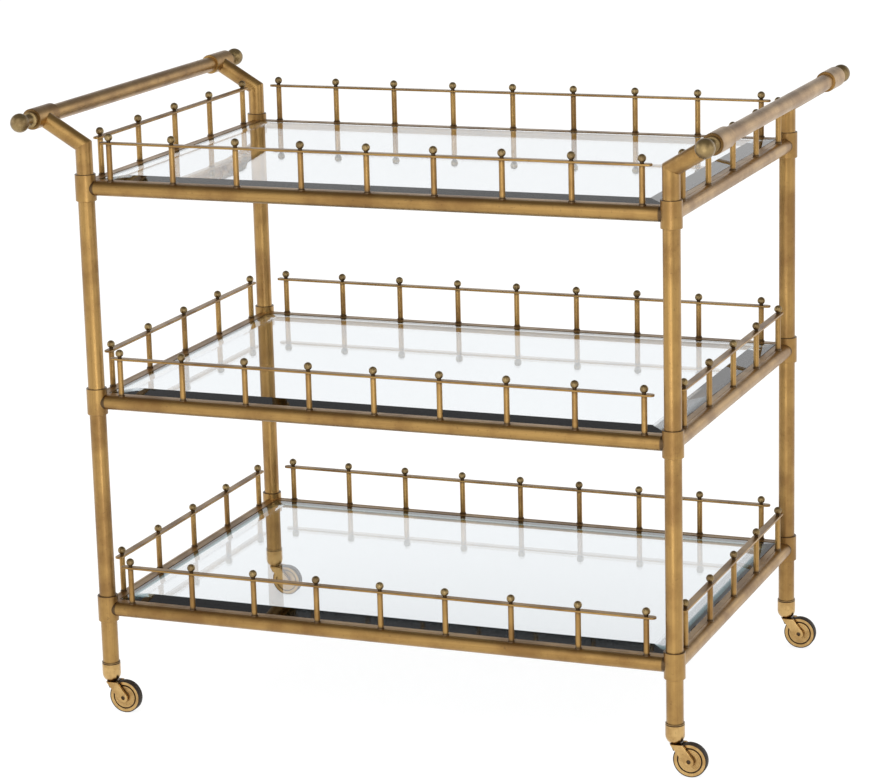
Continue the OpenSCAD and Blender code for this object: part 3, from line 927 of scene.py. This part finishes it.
# %% Forks
CHEEK_T = 4 * MM
CHEEK_W = 15 * MM
CRANK_OUT = 4.5 * MM
AXLE_R = 3 * MM
FORK_SOFT = 0.8 * MM
FLANGE_H = 2 * MM
STEM_R = 5 * MM
WELL_GAP = 1.5 * MM
SWIVEL_GAP = 0.5 * MM
STEM_CHAMFER = 0.4 * MM
BRIDGE_SOFT = 0.3 * MM
BRIDGE_TURN = math.radians(32)
BRIDGE_STEPS = 10
CHEEK_STEPS = 16
HOLE_STEPS = 24
wheel_r = (high("tyre_front_left").z - low("tyre_front_left").z) / 2
trail = (high("tyre_front_right").x + low("tyre_front_right").x) / 2 - post_x
cheek_out = high("fork_front_right").y + post_y
under_cup = cup_low - SWIVEL_GAP


def arc_points(centre, radius, start, end, count):
    steps = [start + (end - start) * i / count for i in range(count + 1)]
    return [(centre[0] + radius * math.cos(a), centre[1] + radius * math.sin(a)) for a in steps]


def cheek_outline():
    """Flat under the cup, straight down the crank and round the axle, in X and Z."""
    axle = Vector((trail, wheel_r))
    lean = (Vector((CRANK_OUT, cup_low)) - axle).normalized()
    across = Vector((-lean.y, lean.x)) * CHEEK_W / 2
    left = axle + across
    left_top = left + lean * ((under_cup - left.y) / lean.y)
    right = axle - across
    right_top = right + lean * ((under_cup - right.y) / lean.y)
    turn_from = math.atan2(across.y, across.x)
    round_end = arc_points(axle, CHEEK_W / 2, turn_from, turn_from + math.pi, CHEEK_STEPS)
    return [tuple(left_top), *round_end, tuple(right_top)]


def plate(name, outlines, thickness, soft):
    """A flat plate in X and Z from outlines, its edge rounded, centred on y = 0."""
    curve = bpy.data.curves.new(name, "CURVE")
    curve.dimensions = "2D"
    curve.fill_mode = "BOTH"
    curve.extrude = thickness / 2 - soft
    curve.bevel_depth = soft
    curve.bevel_resolution = 2
    curve.offset = -soft
    for points in outlines:
        spline = curve.splines.new("POLY")
        spline.points.add(len(points) - 1)
        for point, (x, z) in zip(spline.points, points):
            point.co = (x, z, 0, 1)
        spline.use_cyclic_u = True
    holder = bpy.data.objects.new(name, curve)
    bpy.context.scene.collection.objects.link(holder)
    evaluated = holder.evaluated_get(bpy.context.evaluated_depsgraph_get())
    mesh = bpy.data.meshes.new_from_object(evaluated)
    bpy.data.objects.remove(holder)
    mesh.transform(Matrix.Rotation(math.pi / 2, 4, "X"))
    return mesh


def bridge_outline():
    """The part of the cheeks' outline that stays clear of the wheel."""
    well = wheel_r + WELL_GAP
    start = math.pi - math.asin(min(1, (under_cup - wheel_r) / well))
    inner = arc_points((trail, wheel_r), well, start, start + BRIDGE_TURN, BRIDGE_STEPS)
    return [cheek_outline()[0], *reversed(inner)]


last_angle = 2 * math.pi * (HOLE_STEPS - 1) / HOLE_STEPS
axle_hole = arc_points((trail, wheel_r), AXLE_R, 0, last_angle, HOLE_STEPS - 1)
cheek_mesh = plate("cheek", [cheek_outline(), axle_hole], CHEEK_T, FORK_SOFT)
bridge_mesh = plate("bridge", [bridge_outline()], 2 * cheek_out - CHEEK_T, BRIDGE_SOFT)


def make_fork(end):
    node = "fork_" + end
    side_x, side_y = ENDS[end]
    bm = bmesh.new()
    bm.from_mesh(bridge_mesh)
    # The whole bridge is darkened as painted shade between the cup and the wheel.
    patina_and_painted_shade = bm.verts.layers.float.new("patina_and_painted_shade")
    for vertex in bm.verts:
        vertex[patina_and_painted_shade] = 1.0
    for side in (-1, 1):
        one = cheek_mesh.copy()
        one.transform(Matrix.Translation((0, side * (cheek_out - CHEEK_T / 2), 0)))
        bm.from_mesh(one)
        bpy.data.meshes.remove(one)
    flange_low = under_cup - FLANGE_H
    # The flange and stem are darkened all over as painted shade under the cup.
    for radius, bottom, top in ((NOSE_R, flange_low, under_cup),
                                (STEM_R, under_cup - SWIVEL_GAP, high(node).z)):
        profile = chamfered(radius, bottom, top, STEM_CHAMFER)
        turn(bm, [(*point, 1) for point in profile], (0, 0, 0))
    bmesh.ops.translate(bm, vec=(side_x * post_x, side_y * post_y, 0), verts=bm.verts)
    fork = to_object(node + "_cranked", bm)
    return settle(fork, brass_castor, "castor_" + end, [node])


for end in ENDS:
    make_fork(end)

# %% Wheels and tyres
TYRE_T = 1.5 * MM
RIM_R = wheel_r - TYRE_T
wheel_w = high("tyre_front_left").y - low("tyre_front_left").y
HUB_R = 6.5 * MM
DISC_R = 17 * MM
GROOVE_R = 18.8 * MM
DISC_RINGS = 5
DISC_RISE = 0.4
DISC_HOLLOW = 0.9
GROOVE_SINK = 2 * MM
RIM_SINK = 0.25 * MM
HUB_OUT = 1.6 * MM
BORE_GAP = 0.1 * MM
TYRE_ROUND = 0.8 * MM
WHEEL_STEPS = 64


def wheel_half():
    """Half of the wheel's section, from the bore out to the rim: hub, ringed disc, groove."""
    face = wheel_w / 2
    # The hub's foot, the disc's rings and the groove are darkened: patina and painted shade.
    points = [(AXLE_R + BORE_GAP, face + HUB_OUT), (HUB_R - 0.6 * MM, face + HUB_OUT),
              (HUB_R, face + 1.0 * MM), (HUB_R, face + DISC_RISE * MM, 1)]
    for i in range(DISC_RINGS):
        share = (i + 1) / DISC_RINGS
        radius = HUB_R + (DISC_R - HUB_R) * share
        drop = face + (DISC_RISE - DISC_HOLLOW * share ** 2) * MM
        points += [(radius - 0.5 * MM, drop + 0.1 * MM),
                   (radius - 0.25 * MM, drop - 0.15 * MM, 0.5), (radius, drop)]
    floor = face - GROOVE_SINK
    points += [(DISC_R + 0.1 * MM, floor, 1), (GROOVE_R - 0.1 * MM, floor, 1),
               (GROOVE_R, face - 0.6 * MM, 0.9), (GROOVE_R + 0.5 * MM, face - RIM_SINK),
               (RIM_R, face - RIM_SINK)]
    return points


def both_faces(half):
    """A half section and its mirror image, as one loop."""
    return [*half, *[(radius, -along, *darkening) for radius, along, *darkening in reversed(half)]]


def make_wheel(end):
    middle = (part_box("tyre_" + end)[0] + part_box("tyre_" + end)[1]) / 2
    wheel_bm, tyre_bm = bmesh.new(), bmesh.new()
    turn(wheel_bm, both_faces(wheel_half()), middle, (0, 1, 0), WHEEL_STEPS, looped=True)
    face = wheel_w / 2
    corner = 0.3 * TYRE_ROUND
    tyre = [(RIM_R, face), (wheel_r - TYRE_ROUND, face), (wheel_r - corner, face - corner),
            (wheel_r, face - TYRE_ROUND)]
    turn(tyre_bm, both_faces(tyre), middle, (0, 1, 0), WHEEL_STEPS, looped=True)
    settle(to_object("wheel_%s_turned" % end, wheel_bm), brass_castor, "wheel_" + end,
           ["wheel_" + end])
    settle(to_object("tyre_%s_ring" % end, tyre_bm), rubber, "wheel_" + end,
           ["tyre_" + end])


for end in ENDS:
    make_wheel(end)
print("wheels", round(2 * wheel_r / MM, 1), "mm across, trailing", round(trail / MM, 1), "mm")

# %% CAD pieces that stay as they are
# The axles and stem bushes get very dark brass: painted shade for their recessed ends.
for node in ["stem_bushes", *["axle_" + end for end in ENDS]]:
    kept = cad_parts[node]
    kept.data.materials.clear()
    kept.data.materials.append(brass_painted_shade)

# %% [markdown]
# ## Studio
# A plain pale floor under a white sky, with a broad lamp near the camera, one at each side,
# a faint one behind, and a small one low in front, which gives the upright tubes their soft
# highlight. Metal and glass see the same floor and sky as the camera does, and the floor
# keeps the trolley's shadow. The sky dims overhead, where a studio has its ceiling.

# %% Floor
FLOOR_HALF = 30.0
FLOOR_GLOW = 0.84
FLOOR_SEEN = (0.3, 0.3, 0.3, 1)
FLOOR_PLAIN = (0.8, 0.8, 0.8, 1)


def looked_at(tree):
    """One where the camera looks, straight or in metal or through glass, and zero elsewhere."""
    path = add_node(tree, "ShaderNodeLightPath").outputs
    bounced = number_node(tree, "MAXIMUM", path["Is Glossy Ray"], path["Is Transmission Ray"])
    return number_node(tree, "MAXIMUM", path["Is Camera Ray"], bounced)


def make_floor():
    mesh = bpy.data.meshes.new("floor")
    corners = [(-FLOOR_HALF, -FLOOR_HALF, 0), (FLOOR_HALF, -FLOOR_HALF, 0),
               (FLOOR_HALF, FLOOR_HALF, 0), (-FLOOR_HALF, FLOOR_HALF, 0)]
    mesh.from_pydata(corners, [], [(0, 1, 2, 3)])
    floor = bpy.data.objects.new("floor", mesh)
    bpy.context.scene.collection.objects.link(floor)
    material = bpy.data.materials.new("pale floor")
    material.use_nodes = True
    tree = material.node_tree
    tree.nodes.clear()
    link = tree.links.new
    glow = add_node(tree, "ShaderNodeEmission", {"Color": (1, 1, 1, 1), "Strength": FLOOR_GLOW})
    matt = add_node(tree, "ShaderNodeBsdfDiffuse", {"Color": FLOOR_SEEN})
    seen = add_node(tree, "ShaderNodeAddShader")
    plain = add_node(tree, "ShaderNodeBsdfDiffuse", {"Color": FLOOR_PLAIN})
    mixed = add_node(tree, "ShaderNodeMixShader")
    link(glow.outputs[0], seen.inputs[0])
    link(matt.outputs[0], seen.inputs[1])
    link(looked_at(tree), mixed.inputs[0])
    link(plain.outputs[0], mixed.inputs[1])
    link(seen.outputs[0], mixed.inputs[2])
    link(mixed.outputs[0], add_node(tree, "ShaderNodeOutputMaterial").inputs[0])
    mesh.materials.append(material)


make_floor()

# %% World and lamps
SKY = (1, 1, 1, 1)
CEILING = (0.22, 0.22, 0.225, 1)
CEILING_EDGE = (0.27, 0.42)
WORLD_FILL = 0.75
LAMP_AIM = (0, 0, 0.45)


def make_world():
    """White all round with a dim ceiling where it is looked at, and a plain fill elsewhere."""
    world = bpy.data.worlds.new("studio")
    bpy.context.scene.world = world
    world.use_nodes = True
    tree = world.node_tree
    tree.nodes.clear()
    link = tree.links.new
    apart = add_node(tree, "ShaderNodeSeparateXYZ")
    link(add_node(tree, "ShaderNodeTexCoord").outputs["Generated"], apart.inputs[0])
    climbing = spread(tree, apart.outputs["Z"], *CEILING_EDGE)
    fill = add_node(tree, "ShaderNodeBackground", {"Color": SKY, "Strength": WORLD_FILL})
    seen = add_node(tree, "ShaderNodeBackground", {"Strength": 1.0})
    mixed = add_node(tree, "ShaderNodeMixShader")
    link(blend_colours(tree, climbing, SKY, CEILING), seen.inputs["Color"])
    link(looked_at(tree), mixed.inputs[0])
    link(fill.outputs[0], mixed.inputs[1])
    link(seen.outputs[0], mixed.inputs[2])
    link(mixed.outputs[0], add_node(tree, "ShaderNodeOutputWorld").inputs[0])


def lamp(name, at, size, power):
    """A rectangular softbox that looks at the middle of the trolley."""
    data = bpy.data.lights.new(name, "AREA")
    data.shape = "RECTANGLE"
    data.size, data.size_y = size
    data.energy = power
    light = bpy.data.objects.new(name, data)
    light.location = at
    light.visible_camera = False
    aim = Vector(LAMP_AIM) - Vector(at)
    light.rotation_euler = aim.to_track_quat("-Z", "Y").to_euler()
    bpy.context.scene.collection.objects.link(light)


make_world()
lamp("key softbox", (0.2, -4.2, 3.2), (4.4, 4.2), 68)
lamp("back softbox", (2.4, 3.2, 1.9), (1.9, 2.6), 9)
lamp("low softbox", (0.75, -2.4, 0.45), (0.7, 0.9), 6.5)
lamp("right softbox", (3.8, -0.6, 2.4), (2.6, 2.2), 20)
lamp("left softbox", (-3.8, -1.6, 2.4), (2.6, 2.4), 20)
bpy.context.scene.view_settings.view_transform = "Standard"
